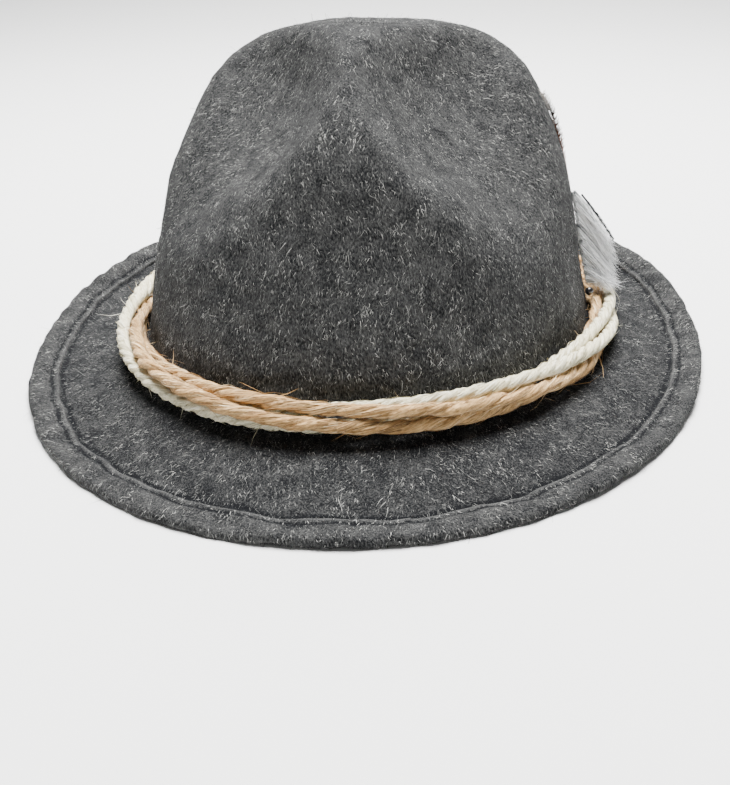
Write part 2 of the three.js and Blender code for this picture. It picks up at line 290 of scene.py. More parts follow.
def add_light(name, place, aim, size, power):
    data = bpy.data.lights.new(name, "AREA")
    data.shape = "DISK"
    data.size = size
    data.energy = power
    light = bpy.data.objects.new(name, data)
    away = (np.array(place) - np.array(aim)).astype(float)
    away /= np.linalg.norm(away)
    side = np.cross(up_axis, away)
    side /= np.linalg.norm(side)
    over = np.cross(away, side)
    light.matrix_world = Matrix([
        (side[0], over[0], away[0], place[0]),
        (side[1], over[1], away[1], place[1]),
        (side[2], over[2], away[2], place[2]),
        (0, 0, 0, 1),
    ])
    bpy.context.collection.objects.link(light)


def add_studio():
    world = bpy.data.worlds.new("studio")
    world.use_nodes = True
    background = world.node_tree.nodes["Background"]
    background.inputs["Color"].default_value = (1, 1, 1, 1)
    background.inputs["Strength"].default_value = sky_strength
    bpy.context.scene.world = world
    add_light("key", **key_light)
    add_light("back", **back_light)
    mesh = bpy.data.meshes.new("floor")
    corners = [(-1, -1), (1, -1), (1, 1), (-1, 1)]
    mesh.from_pydata([(x * floor_reach, y * floor_reach, 0) for x, y in corners], [], [(0, 1, 2, 3)])
    floor = bpy.data.objects.new("floor", mesh)
    bpy.context.collection.objects.link(floor)
    mesh.materials.append(paper())


def colour(code):
    """sRGB hex to the linear colour that a socket holds."""
    channels = [int(code[i:i + 2], 16) / 255 for i in (1, 3, 5)]
    linear = [c / 12.92 if c <= 0.04045 else ((c + 0.055) / 1.055) ** 2.4 for c in channels]
    return (*linear, 1)


def add_node(tree, kind, settings=(), inputs=()):
    """Adds one node: settings are its own properties, inputs are values or sockets to link."""
    node = tree.nodes.new(kind)
    for name, value in dict(settings).items():
        setattr(node, name, value)
    for name, value in dict(inputs).items():
        socket = node.inputs[name]
        if isinstance(value, bpy.types.NodeSocket):
            tree.links.new(value, socket)
        else:
            socket.default_value = value
    return node


def new_material(name):
    material = bpy.data.materials.new(name)
    material.use_nodes = True
    tree = material.node_tree
    tree.nodes.clear()
    shader = add_node(tree, "ShaderNodeBsdfPrincipled")
    output = add_node(tree, "ShaderNodeOutputMaterial")
    tree.links.new(shader.outputs["BSDF"], output.inputs["Surface"])
    return material, tree, shader


def paper():
    """Matt studio paper: pale, even and without a shine."""
    material, tree, shader = new_material("studio_paper")
    shader.inputs["Base Color"].default_value = colour("#f4f4f3")
    shader.inputs["Roughness"].default_value = 0.9
    return material


def smooth_max(a, b, blend):
    near = np.maximum(blend - np.abs(a - b), 0) / blend
    return np.maximum(a, b) + near * near * blend / 4


def block_field(x, y, z):
    """The blocked crown before it is dented, below zero inside."""
    t = z / crown_height
    shrink = 1 - crown_side_taper * t
    along = (y - crown_set_back * t) / half_length
    across = (x - crown_lean * t * t) / (half_width * (1 + crown_front_taper * along))
    square = crown_squareness
    oval = (np.abs(across) ** square + np.abs(along) ** square) ** (1 / square)
    level = ((oval / shrink) ** crown_shoulder + np.maximum(t, 0) ** crown_shoulder) ** (1 / crown_shoulder)
    return (level - 1) * half_width


def dent_field(dent, side, x, y, z):
    """Distance to one egg-shaped pressing form, below zero inside it."""
    fall = math.radians(dent["fall"])
    turn = math.radians(dent["turn"])
    dx = x * side - dent["across"] * half_width
    dy = y - dent["along"] * half_length
    dz = z - dent["up"] * crown_height
    out = dx * math.cos(turn) + dy * math.sin(turn)
    back = dy * math.cos(turn) - dx * math.sin(turn)
    axial = out * math.cos(fall) - dz * math.sin(fall)
    rise = out * math.sin(fall) + dz * math.cos(fall)
    a = dent["long"] * crown_height
    b = dent["wide"] * crown_height
    c = dent["deep"] * crown_height
    near = np.sqrt((axial / a) ** 2 + (back / b) ** 2 + (rise / c) ** 2)
    steep = np.sqrt((axial / a ** 2) ** 2 + (back / b ** 2) ** 2 + (rise / c ** 2) ** 2)
    return near * (near - 1) / np.maximum(steep, tiny)


def crown_field(x, y, z):
    value = block_field(x, y, z)
    for dent in crown_dents:
        for side in (-1, 1):
            value = smooth_max(value, -dent_field(dent, side, x, y, z), dent["blend"])
    return value


def crown_point(angle, rise, height=brim_root_radius):
    """Where rays from the middle of the crown leave the felt."""
    angle, rise, height = np.broadcast_arrays(
        np.asarray(angle, float), np.asarray(rise, float), np.asarray(height, float))
    dx = np.sin(angle) * np.cos(rise)
    dy = -np.cos(angle) * np.cos(rise)
    dz = np.sin(rise)
    low = np.zeros(angle.shape)
    high = np.full(angle.shape, float(crown_length))
    for _ in range(bisections):
        middle = (low + high) / 2
        inside = crown_field(dx * middle, dy * middle, height + dz * middle) < 0
        low = np.where(inside, middle, low)
        high = np.where(inside, high, middle)
    return np.stack([dx * low, dy * low, height + dz * low], -1)


def settle(point):
    """From the crown's own frame to the lying hat."""
    cos = math.cos(crown_tilt)
    sin = math.sin(crown_tilt)
    x, y, z = np.moveaxis(point, -1, 0)
    return np.stack([x, y * cos + z * sin, z * cos - y * sin + root_height - rest_press], -1)


def unit(vectors):
    return vectors / np.maximum(np.linalg.norm(vectors, axis=-1, keepdims=True), tiny)


def plain_outward(angle):
    """Level direction away from the crown's wall at its foot."""
    x, y, z = np.moveaxis(crown_point(angle, 0), -1, 0)
    gx = crown_field(x + field_step, y, z) - crown_field(x - field_step, y, z)
    gy = crown_field(x, y + field_step, z) - crown_field(x, y - field_step, z)
    return unit(np.stack([gx, gy, np.zeros_like(gx)], -1))


def read_lift(degrees):
    """Smooth curve through the brim's lifts."""
    keys = np.array([row[0] for row in brim_lifts], float)
    values = np.array([row[1] for row in brim_lifts], float)
    slopes = np.zeros(len(keys))
    slopes[1:-1] = (values[2:] - values[:-2]) / (keys[2:] - keys[:-2])
    i = np.clip(np.searchsorted(keys, degrees, side="left") - 1, 0, len(keys) - 2)
    width = keys[i + 1] - keys[i]
    t = (degrees - keys[i]) / width
    return (values[i] * (2 * t ** 3 - 3 * t ** 2 + 1) + values[i + 1] * (3 * t ** 2 - 2 * t ** 3)
            + width * slopes[i] * (t ** 3 - 2 * t ** 2 + t) + width * slopes[i + 1] * (t ** 3 - t ** 2))


def brim_section(angle):
    """Root curve, bend of the welt and edge of the brim, at each angle."""
    angle = np.asarray(angle, float)
    wall = settle(crown_point(angle, 0))
    degrees = np.abs(np.degrees(np.arctan2(np.sin(angle), np.cos(angle))))
    lift = brim_back_lift * read_lift(degrees)
    width = brim_width + brim_front_extra * np.cos(angle)
    edge_out = width - edge_radius
    edge_up = lift + felt_thickness - rest_press
    bend_out = width - welt_width
    share = welt_width / bend_out
    root_up = wall[..., 2] - brim_root_radius
    bend_up = (edge_up - welt_width * math.tan(welt_curl) + share * root_up) / (1 + share)
    centre_up = wall[..., 2]
    reach = np.hypot(bend_out - brim_root_radius, bend_up - centre_up)
    fall = np.arctan2(centre_up - bend_up, bend_out - brim_root_radius)
    slope = fall - np.arcsin(brim_root_radius / reach)
    return dict(wall=wall, outward=plain_outward(angle), centre_up=centre_up, slope=slope,
                bend=(bend_out, bend_up), edge=(edge_out, edge_up))


def brim_point(section, station):
    """A point of the brim's upper face: root curve 1 to 2, flat 2 to 3, welt 3 to 4."""
    end = math.pi * 1.5 - section["slope"]
    if station <= 2:
        turn = math.pi + (end - math.pi) * (station - 1)
        out = brim_root_radius + brim_root_radius * np.cos(turn)
        up = section["centre_up"] + brim_root_radius * np.sin(turn)
    elif station <= 3:
        start_out = brim_root_radius + brim_root_radius * np.cos(end)
        start_up = section["centre_up"] + brim_root_radius * np.sin(end)
        out = start_out + (section["bend"][0] - start_out) * (station - 2)
        up = start_up + (section["bend"][1] - start_up) * (station - 2)
    else:
        out = section["bend"][0] + (section["edge"][0] - section["bend"][0]) * (station - 3)
        up = section["bend"][1] + (section["edge"][1] - section["bend"][1]) * (station - 3)
    wall = section["wall"]
    outward = section["outward"]
    return np.stack([wall[..., 0] + outward[..., 0] * out, wall[..., 1] + outward[..., 1] * out, up], -1)


def grid_normals(grid):
    """Outward unit normals of rings that close on themselves."""
    down = np.gradient(grid, axis=0)
    around = np.roll(grid, -1, axis=1) - np.roll(grid, 1, axis=1)
    return unit(np.cross(down, around))


def ripples(points, spacing, waves=28):
    """Smooth uneven waves from -1 to 1 over points in space, about one spacing apart."""
    directions = unit(rng.normal(size=(waves, 3)))
    lengths = spacing * rng.uniform(0.7, 1.6, waves)
    phases = rng.uniform(0, 2 * math.pi, waves)
    total = np.zeros(points.shape[:-1])
    for direction, length, phase in zip(directions, lengths, phases):
        total += np.sin(points @ direction * (2 * math.pi / length) + phase)
    return total / math.sqrt(waves)


def smooth_step(value):
    t = np.clip(value, 0, 1)
    return t * t * (3 - 2 * t)


def welt_raise(beyond):
    """Height of the folded welt over the brim, at a distance beyond its raw edge."""
    fold = welt_step * smooth_step(beyond / raw_edge_ramp + 0.5)
    groove = stitch_depth * np.exp(-((beyond - stitch_inset) / stitch_half_width) ** 2)
    swell_place = np.clip((beyond - stitch_inset) / (welt_width - stitch_inset), 0, 1)
    return fold - groove + welt_swell * np.sin(math.pi * swell_place)


def brim_painted_shading(beyond):
    """How much lighter or darker the brim's felt is drawn: painted shade over the brim, painted light on
    the welt, two dark lines along the welt's light raw edge (a painted shadow at its foot and painted shade
    in the stitch groove) and a painted highlight on that edge.
    """
    groove = welt_painted_lines["groove"] * np.exp(-((beyond - stitch_inset) / stitch_half_width) ** 2)
    foot = welt_painted_lines["foot"] * np.exp(-((beyond + raw_edge_ramp) / stitch_half_width) ** 2)
    raw = welt_painted_lines["raw"] * np.exp(-((beyond - raw_edge_ramp / 2) / stitch_half_width) ** 2)
    return brim_painted_shade + welt_painted_light * smooth_step(beyond) + groove + foot + raw


def felt_grid():
    """Rings of the felt from the middle of the crown's top, over the edge, to its lining."""
    angles = np.arange(steps_round) / steps_round * 2 * math.pi
    shares = np.arange(1, crown_rings + 1) / crown_rings
    crown = settle(crown_point(angles[None, :], ((1 - shares) * math.pi / 2)[:, None]))
    section = brim_section(angles)
    flat = brim_width - welt_width - brim_root_radius
    stations = [1 + i / root_rings for i in range(1, root_rings + 1)]
    stations += [2 + i / brim_rings * (1 - plain_rings_end / flat) for i in range(1, brim_rings + 1)]
    welt_reach = welt_width - edge_radius
    for i in range(welt_rings + 1):
        beyond = (welt_reach + fine_rings_past) * (i / welt_rings) ** fine_rings_bias - fine_rings_start
        stations.append(3 + beyond / (flat if beyond < 0 else welt_reach))
    brim = np.stack([brim_point(section, station) for station in stations])
    upper = np.concatenate([crown, brim])
    normals = grid_normals(upper)
    all_stations = np.concatenate([shares, stations])
    beyond = np.where(all_stations < 3, (all_stations - 3) * flat, (all_stations - 3) * welt_reach)

    wander = ripples(upper[-1] * [1, 1, 0], edge_wander_spacing) * edge_wander
    past = beyond[:, None] - wander[None, :]
    raised = welt_raise(past)
    # The crown keeps its own tone; the brim and welt take their painted shade, light, shadow and highlight
    tone_and_painted_shading = np.where((all_stations > 1.5)[:, None], brim_painted_shading(past), crown_shade)
    raised[all_stations < 2.5] = 0
    handling = handling_depth * ripples(upper, handling_spacing) + lump_depth * ripples(upper, lump_spacing)
    rooted = smooth_step(np.abs(all_stations - 1.6) / 0.6)[:, None]
    pucker = pucker_depth * ripples(upper, pucker_spacing) * smooth_step((beyond[:, None] + 1) / 4)
    fine = upper + normals * (raised + handling * rooted + pucker)[..., None]

    rim_normal = normals[-1]
    outward = section["outward"]
    onward = unit(outward - rim_normal * (outward * rim_normal).sum(-1, keepdims=True))
    middle = fine[-1] - rim_normal * edge_radius
    swings = np.linspace(edge_swing, -edge_swing, edge_rings)
    bulge = edge_radius * (1 + edge_unevenness * ripples(upper[-1], pucker_spacing))[:, None]
    edge = np.stack([middle + rim_normal * edge_radius * math.sin(s) + onward * bulge * math.cos(s)
                     for s in swings])

    under_stations = np.linspace(len(all_stations) - 1, crown_rings + root_rings, under_rings).astype(int)
    lining_stations = np.linspace(crown_rings + root_rings - 2, 2, lining_rings).astype(int)
    inner = np.concatenate([under_stations, lining_stations])
    lower = upper[inner] - normals[inner] * felt_thickness
    lower += normals[inner] * (0.5 * handling_depth * ripples(lower, handling_spacing))[..., None]
    rings = np.concatenate([fine, edge, lower])
    rings[len(fine):, :, 2] = np.maximum(rings[len(fine):, :, 2], 0)
    tone_and_painted_shading = np.concatenate([tone_and_painted_shading, np.broadcast_to(tone_and_painted_shading[-1], (len(edge) + len(lower), steps_round))])
    return rings, len(fine) + len(edge), tone_and_painted_shading


def ring_faces(rings, count, closed=False):
    """Quads between rings of count points, the last joined to the first where it is closed."""
    last = rings if closed else rings - 1
    r = np.arange(last)[:, None]
    i = np.arange(count)[None, :]
    j = (i + 1) % count
    n = (r + 1) % rings
    return np.stack([r * count + i, n * count + i, n * count + j, r * count + j], -1).reshape(-1, 4)


def end_caps(tip, rings, count):
    """Triangles from the first ring to point tip, and from the last ring to the point after it."""
    i = np.arange(count)
    j = (i + 1) % count
    base = (rings - 1) * count
    first = np.stack([np.full(count, tip), i, j], -1)
    last = np.stack([np.full(count, tip + 1), base + j, base + i], -1)
    return np.concatenate([first, last])


def make_piece(name, points, quads, tris, material, uv=None, node=None):
    """A shown mesh piece from points in millimetres, riding on the hat."""
    mesh = bpy.data.meshes.new(name)
    quads = np.asarray(quads, int).reshape(-1, 4)
    tris = np.asarray(tris, int).reshape(-1, 3)
    loops = np.concatenate([quads.ravel(), tris.ravel()]).astype(np.int32)
    starts = np.concatenate([np.arange(len(quads)) * 4, len(quads) * 4 + np.arange(len(tris)) * 3])
    mesh.vertices.add(len(points))
    mesh.vertices.foreach_set("co", ((points + shift) / 1000).astype(np.float32).ravel())
    mesh.loops.add(len(loops))
    mesh.loops.foreach_set("vertex_index", loops)
    mesh.polygons.add(len(starts))
    mesh.polygons.foreach_set("loop_start", starts.astype(np.int32))
    mesh.polygons.foreach_set("use_smooth", np.ones(len(starts), bool))
    if uv is not None:
        layer = mesh.uv_layers.new(name="grain")
        layer.data.foreach_set("uv", np.asarray(uv, np.float32)[loops].ravel())
    mesh.update(calc_edges=True)
    mesh.validate()
    mesh.materials.append(material)
    piece = bpy.data.objects.new(name, mesh)
    bpy.context.collection.objects.link(piece)
    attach(piece, "root")
    if node:
        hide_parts(node)


def wool_felt():
    """Blocked wool felt in a charcoal melange: matt, with light fibres caught in a dark mat."""
    material, tree, shader = new_material("wool_felt")
    place = add_node(tree, "ShaderNodeTexCoord").outputs["Object"]
    cloudy = add_node(tree, "ShaderNodeTexNoise", {},
                      {"Vector": place, "Scale": 1000 / felt_cloud, "Detail": 3})
    drawn = add_node(tree, "ShaderNodeMapping", {}, {"Vector": place, "Scale": (1, 1, felt_speck_upright)})
    speck = add_node(tree, "ShaderNodeTexNoise", {}, {"Vector": drawn.outputs["Vector"],
                                                     "Scale": 1000 / felt_speck,
                                                     "Detail": 3, "Roughness": 0.7})
    mixed = add_node(tree, "ShaderNodeMix", {"data_type": "FLOAT"},
                     {"Factor": 0.75, "A": cloudy.outputs["Fac"], "B": speck.outputs["Fac"]})
    grain = add_node(tree, "ShaderNodeUVMap", {"uv_map": "grain"}).outputs["UV"]
    tone = add_node(tree, "ShaderNodeSeparateXYZ", {}, {"Vector": grain}).outputs["X"]
    toned = add_node(tree, "ShaderNodeMath", {"operation": "ADD"}, {0: mixed.outputs["Result"], 1: tone})
    level = add_node(tree, "ShaderNodeMath", {"operation": "SUBTRACT"}, {0: toned.outputs[0], 1: 0.5})
    ramp = add_node(tree, "ShaderNodeValToRGB", {}, {"Fac": level.outputs[0]})
    ramp.color_ramp.elements[0].position = 0.38
    ramp.color_ramp.elements[0].color = colour("#121315")
    ramp.color_ramp.elements[1].position = 0.62
    ramp.color_ramp.elements[1].color = colour("#4e4e4d")
    tree.links.new(ramp.outputs["Color"], shader.inputs["Base Color"])
    bump = add_node(tree, "ShaderNodeBump", {}, {"Height": speck.outputs["Fac"], "Strength": 0.6,
                                                "Distance": felt_relief / 1000})
    tree.links.new(bump.outputs["Normal"], shader.inputs["Normal"])
    shader.inputs["Roughness"].default_value = 1
    shader.inputs["Specular IOR Level"].default_value = 0.1
    return material


def twisted_yarn(name, dark, light):
    """Twisted plant-fibre yarn: fine fibres lie along each ply at the twist's angle."""
    material, tree, shader = new_material(name)
    grain = add_node(tree, "ShaderNodeUVMap", {"uv_map": "grain"}).outputs["UV"]
    drawn = add_node(tree, "ShaderNodeMapping", {},
                     {"Vector": grain, "Scale": (yarn_streaks_round, 1 / yarn_streak_length, 1)})
    fibres = add_node(tree, "ShaderNodeTexNoise", {}, {"Vector": drawn.outputs["Vector"], "Scale": 1,
                                                      "Detail": 3, "Roughness": 0.6})
    ramp = add_node(tree, "ShaderNodeValToRGB", {}, {"Fac": fibres.outputs["Fac"]})
    ramp.color_ramp.elements[0].position = 0.3
    ramp.color_ramp.elements[0].color = colour(dark)
    ramp.color_ramp.elements[1].position = 0.65
    ramp.color_ramp.elements[1].color = colour(light)
    tree.links.new(ramp.outputs["Color"], shader.inputs["Base Color"])
    bump = add_node(tree, "ShaderNodeBump", {}, {"Height": fibres.outputs["Fac"], "Strength": 1,
                                                "Distance": yarn_relief / 1000})
    tree.links.new(bump.outputs["Normal"], shader.inputs["Normal"])
    shader.inputs["Roughness"].default_value = 0.85
    shader.inputs["Sheen Weight"].default_value = 0.15
    return material


def wool_nap():
    """Loose wool fibres of the melange: each lies on the felt in its own grey."""
    material, tree, shader = new_material("wool_nap")
    grain = add_node(tree, "ShaderNodeUVMap", {"uv_map": "grain"}).outputs["UV"]
    tone = add_node(tree, "ShaderNodeSeparateXYZ", {}, {"Vector": grain}).outputs["X"]
    ramp = add_node(tree, "ShaderNodeValToRGB", {}, {"Fac": tone})
    stops = ramp.color_ramp.elements
    stops[0].position = 0
    stops[0].color = colour("#131416")
    stops[1].position = 1
    stops[1].color = colour("#c2c1bc")
    stops.new(0.45).color = colour("#363738")
    stops.new(0.75).color = colour("#7a7a77")
    tree.links.new(ramp.outputs["Color"], shader.inputs["Base Color"])
    shader.inputs["Roughness"].default_value = 0.9
    shader.inputs["Specular IOR Level"].default_value = 0.15
    return material


def strand_tones(name, dark, middle, light, roughness=0.8):
    """Drawn strands, each in its own tone between a dark and a light fibre."""
    material, tree, shader = new_material(name)
    grain = add_node(tree, "ShaderNodeUVMap", {"uv_map": "grain"}).outputs["UV"]
    tone = add_node(tree, "ShaderNodeSeparateXYZ", {}, {"Vector": grain}).outputs["X"]
    ramp = add_node(tree, "ShaderNodeValToRGB", {}, {"Fac": tone})
    stops = ramp.color_ramp.elements
    stops[0].color = colour(dark)
    stops[1].color = colour(light)
    stops.new(0.5).color = colour(middle)
    tree.links.new(ramp.outputs["Color"], shader.inputs["Base Color"])
    shader.inputs["Roughness"].default_value = roughness
    shader.inputs["Sheen Weight"].default_value = 0.1
    return material


def hackle(name, bands):
    """Silky feather barbs: the colour runs in bands to the tip, and each barb has its own tone."""
    material, tree, shader = new_material(name)
    grain = add_node(tree, "ShaderNodeUVMap", {"uv_map": "grain"}).outputs["UV"]
    parts = add_node(tree, "ShaderNodeSeparateXYZ", {}, {"Vector": grain})
    ramp = add_node(tree, "ShaderNodeValToRGB", {}, {"Fac": parts.outputs["X"]})
    stops = ramp.color_ramp.elements
    # The ramp starts with two stops, which become the first and the last band.
    for stop, (position, code) in zip((stops[0], stops[1]), (bands[0], bands[-1])):
        stop.position = position
        stop.color = colour(code)
    for position, code in bands[1:-1]:
        stops.new(position).color = colour(code)
    lighter = add_node(tree, "ShaderNodeMath", {"operation": "MULTIPLY_ADD"},
                       {0: parts.outputs["Y"], 1: 1.1, 2: 0.45})
    toned = add_node(tree, "ShaderNodeVectorMath", {"operation": "SCALE"},
                     {0: ramp.outputs["Color"], "Scale": lighter.outputs[0]})
    tree.links.new(toned.outputs[0], shader.inputs["Base Color"])
    shader.inputs["Roughness"].default_value = 0.75
    shader.inputs["Specular IOR Level"].default_value = 0.1
    return material


def glass_bead():
    """Pressed black glass: a polished skin over faint cloudy swirls."""
    material, tree, shader = new_material("black_glass_bead")
    place = add_node(tree, "ShaderNodeTexCoord").outputs["Object"]
    swirl = add_node(tree, "ShaderNodeTexNoise", {},
                     {"Vector": place, "Scale": 1000 / bead_swirl, "Detail": 3, "Distortion": 1.5})
    ramp = add_node(tree, "ShaderNodeValToRGB", {}, {"Fac": swirl.outputs["Fac"]})
    ramp.color_ramp.elements[0].color = colour("#0b0b0d")
    ramp.color_ramp.elements[1].color = colour("#2c2b2d")
    tree.links.new(ramp.outputs["Color"], shader.inputs["Base Color"])
    bump = add_node(tree, "ShaderNodeBump", {}, {"Height": swirl.outputs["Fac"], "Strength": 0.08,
                                                "Distance": bead_relief / 1000})
    tree.links.new(bump.outputs["Normal"], shader.inputs["Normal"])
    shader.inputs["Roughness"].default_value = 0.07
    shader.inputs["Coat Weight"].default_value = 0.6
    return material


def ribbons(paths, widths, sideways):
    """Flat tapering strands: paths are strands x points x 3, joined into one mesh."""
    strands, count, _ = paths.shape
    taper = widths[:, None] * (1 - 0.55 * (np.arange(count - 1) / (count - 1)))[None, :]
    left = paths[:, :-1] - sideways[:, :-1] * taper[..., None] / 2
    right = paths[:, :-1] + sideways[:, :-1] * taper[..., None] / 2
    block = 2 * (count - 1) + 1
    points = np.empty((strands, block, 3))
    points[:, 0:-1:2] = left
    points[:, 1:-1:2] = right
    points[:, -1] = paths[:, -1]
    start = np.arange(strands)[:, None] * block
    k = np.arange(count - 2)[None, :] * 2
    quads = np.stack([start + k, start + k + 1, start + k + 3, start + k + 2], -1).reshape(-1, 4)
    tris = np.concatenate([start + block - 3, start + block - 2, start + block - 1], 1)
    return points.reshape(-1, 3), quads, tris


def join_strands(parts):
    """Several sets of ribbons as one set."""
    points, quads, tris = [], [], []
    base = 0
    for some, four, three in parts:
        points.append(some)
        quads.append(four + base)
        tris.append(three + base)
        base += len(some)
    return np.concatenate(points), np.concatenate(quads), np.concatenate(tris)


def felt_body():
    rings, shown_count, tone_and_painted_shading = felt_grid()
    count = rings.shape[1]
    top = rings[0].mean(0)
    under_top = rings[-1].mean(0)
    points = np.concatenate([rings.reshape(-1, 3), [top, under_top]])
    caps = end_caps(len(points) - 2, len(rings), count)
    # The felt's tone goes to its material through the grain map, with the brim's painted shade and light
    tone = np.concatenate([tone_and_painted_shading.ravel(), [0, 0]]) + 0.5
    make_piece("felt", points, ring_faces(len(rings), count), caps, wool_felt(),
               uv=np.stack([tone, tone], -1), node="felt_body")
    return rings[:shown_count], tone_and_painted_shading


def nap(name, felt, first, last, count, material, shares=(0, 1), reach=nap_length, lift=nap_rise):
    """Loose fibres over part of the felt, lying from crown to edge with some disorder."""
    surface, tone_and_painted_shading = felt
    rows = np.arange(first, last)
    columns = np.arange(int(shares[0] * steps_round), int(shares[1] * steps_round)) % steps_round
    corner = surface[rows][:, columns]
    below = surface[rows + 1][:, columns]
    beside = surface[rows][:, (columns + 1) % steps_round]
    down = below - corner
    around = beside - corner
    across = np.cross(down, around)
    area = np.linalg.norm(across, axis=-1).ravel()
    pick = rng.choice(len(area), count, p=area / area.sum())
    u, v = rng.uniform(0, 1, (2, count, 1))
    down = down.reshape(-1, 3)[pick]
    around = around.reshape(-1, 3)[pick]
    normal = unit(across.reshape(-1, 3)[pick])
    root = corner.reshape(-1, 3)[pick] + down * u + around * v
    down = unit(down)
    around = np.cross(normal, down)
    lay = nap_swirl * ripples(root, nap_swirl_spacing) + rng.normal(0, nap_disorder, count)
    direction = down * np.cos(lay)[:, None] - around * np.sin(lay)[:, None]
    sideways = np.cross(normal, direction)
    length = reach * rng.lognormal(0, nap_length_spread, count)
    rise = rng.gamma(nap_rise_shape, lift, count)
    curl = rng.normal(0, nap_curl, count) * length
    t = np.linspace(0, 1, nap_knots)
    paths = root[:, None] + direction[:, None] * (length[:, None] * t)[..., None]
    # Each fibre leaves the felt, arches over and comes half of the way back.
    arch = np.sin(t * 0.75 * math.pi)
    paths += normal[:, None] * (rise[:, None] * arch + nap_stand_off)[..., None]
    paths += sideways[:, None] * (curl[:, None] * t ** 2)[..., None]
    # The hat rests on its brim, so no fibre reaches below it.
    paths[..., 2] = np.maximum(paths[..., 2], nap_width)
    # Each fibre takes the felt's tone under it, with the painted shade and light of the brim
    shade = tone_and_painted_shading[rows][:, columns].ravel()[pick]
    tone = rng.beta(*nap_tones, count) + nap_cloud_shade * ripples(root, nap_cloud_spacing) + shade
    tone = np.clip(tone, *tone_range)
    sides = np.broadcast_to(sideways[:, None], paths.shape)
    points, quads, tris = ribbons(paths, nap_width * rng.uniform(*nap_thickness_range, count), sides)
    uv = np.stack([np.repeat(tone, len(points) // count), np.zeros(len(points))], -1)
    make_piece(name, points, quads, tris, material, uv=uv)


def bundle_centre(angle):
    """Middle of the bundle of cords in the corner between crown wall and brim."""
    section = brim_section(angle)
    spread = (cord_diameter + cord_gap) / math.sqrt(2)
    radius = spread + cord_diameter / 2 + cord_seat_gap
    out = max(radius, brim_root_radius)
    slope = section["slope"]
    base = section["centre_up"] - brim_root_radius / np.cos(slope) + brim_root_radius * np.tan(slope)
    up = base - out * np.tan(slope) + radius / np.cos(slope)
    wall = section["wall"]
    outward = section["outward"]
    at = np.stack([wall[..., 0] + outward[..., 0] * out, wall[..., 1] + outward[..., 1] * out, up], -1)
    return at, outward, spread


def cord_path(angle, place):
    """Centre of one cord, which starts in its own place in the bundle and winds round it."""
    at, outward, spread = bundle_centre(angle)
    twist = cord_turns * angle - cord_front_slack * np.sin(angle) + math.radians(place)
    facing = np.cos(twist)
    sinking = np.sin(twist)
    out = spread * (facing * math.cos(cord_facing) + sinking * math.sin(cord_facing))
    up = spread * (facing * math.sin(cord_facing) - sinking * math.cos(cord_facing))
    return at + outward * out[..., None] + up_axis * up[..., None]


def path_frame(path, facing):
    """Unit vectors across and over a closed path, with over close to the facing direction."""
    along = unit(np.roll(path, -1, axis=0) - np.roll(path, 1, axis=0))
    side = unit(np.cross(along, facing))
    return side, np.cross(side, along)


def tube(path, side, over, radius, sides):
    """Rings of points round a path."""
    turns = np.arange(sides) / sides * 2 * math.pi
    radius = np.broadcast_to(np.asarray(radius, float), (len(path),))[:, None, None]
    ring = side[:, None] * np.cos(turns)[None, :, None] + over[:, None] * np.sin(turns)[None, :, None]
    return path[:, None] + ring * radius


def cord(name, place, material, pitch, looseness):
    """One cord of the band: plies wound round each other on the cord's own path."""
    angle = np.arange(ply_steps) / ply_steps * 2 * math.pi
    centre = cord_path(angle, place)
    side, over = path_frame(centre, up_axis)
    steps = np.linalg.norm(np.roll(centre, -1, axis=0) - centre, axis=1)
    run = np.concatenate([[0], np.cumsum(steps)[:-1]])
    length = steps.sum()
    turns = round(length / pitch)
    ply_radius = cord_diameter / 2 * ply_fullness
    offset = cord_diameter / 2 - ply_radius
    points, faces, uvs, plies = [], [], [], []
    for ply in range(ply_count):
        phase = 2 * math.pi * (turns * run / length + ply / ply_count)
        phase = phase + looseness * ply_slip * ripples(centre, pitch * 2)
        reach = offset * (1 + looseness * ply_parting * ripples(centre, pitch))
        path = centre + side * (reach * np.cos(phase))[:, None] + over * (reach * np.sin(phase))[:, None]
        outward = side * np.cos(phase)[:, None] + over * np.sin(phase)[:, None]
        ply_side, ply_over = path_frame(path, outward)
        thick = ply_radius * (1 + looseness * ply_unevenness * ripples(path, pitch * 0.8))
        plies.append((path, ply_side, ply_over, thick))
        rings = tube(path, ply_side, ply_over, thick, ply_sides)
        faces.append(ring_faces(ply_steps, ply_sides, closed=True) + ply * ply_steps * ply_sides)
        points.append(rings.reshape(-1, 3))
        around = np.broadcast_to(np.arange(ply_sides) / ply_sides, (ply_steps, ply_sides))
        drawn = np.broadcast_to(run[:, None], (ply_steps, ply_sides))
        uvs.append(np.stack([around + ply * ply_grain_offset, drawn], -1).reshape(-1, 2))
    make_piece(name, np.concatenate(points), np.concatenate(faces), [], material,
               uv=np.concatenate(uvs), node=name)
    fibre_turn = -2 * math.pi * offset / pitch / ply_radius
    return [np.stack(part) for part in zip(*plies)], length, fibre_turn


